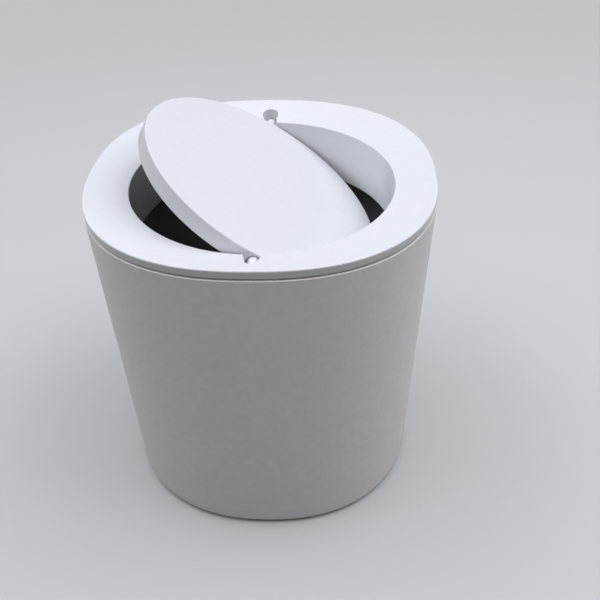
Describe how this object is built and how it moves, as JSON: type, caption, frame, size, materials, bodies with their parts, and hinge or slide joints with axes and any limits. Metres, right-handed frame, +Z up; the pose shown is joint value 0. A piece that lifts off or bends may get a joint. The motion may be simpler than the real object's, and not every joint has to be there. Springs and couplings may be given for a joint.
{
  "type": "countertop trash can with swing lid",
  "caption": "White rounded-square countertop trash can with a dished lid frame, a round swing flap on stub pins and a dark lift-out bucket.",
  "frame": {"origin": "centre of the base, on the ground", "axes": "+Z up; front is -Y; +X is the right-hand side seen from the front; the flap's pivot axis lies along Y"},
  "size_m": [0.18, 0.18, 0.2136],
  "materials": {
    "shell_white": "satin white polypropylene, faintly grained",
    "lid_white": "semi-gloss white moulding",
    "bucket_dark": "charcoal polypropylene",
    "pin_white": "white moulded pin"
  },
  "bodies": {
    "shell": {"outer_body": "shell_white"},
    "bucket": {"inner_bucket": "bucket_dark"},
    "lid": {"lid_frame": "lid_white"},
    "flap": {"flap_cover": "lid_white", "flap_base": "lid_white", "pivot_pin_front": "pin_white", "pivot_pin_rear": "pin_white"}
  },
  "joints": [
    {"name": "lid_lift", "type": "slide", "parent": "shell", "child": "lid", "axis": [0, 0, 1], "range_m": [0, 0.24]},
    {"name": "bucket_lift", "type": "slide", "parent": "shell", "child": "bucket", "axis": [0, 0, 1], "range_m": [0, 0.18]},
    {"name": "flap_swing", "type": "hinge", "parent": "lid", "child": "flap", "pos_m": [0, 0, 0.1739], "axis": [0, 1, 0], "range_deg": [-107, 43]}
  ],
  "couplings": [
    {"joint": "bucket_lift", "follows": "lid_lift", "ratio": 0.75}
  ]
}
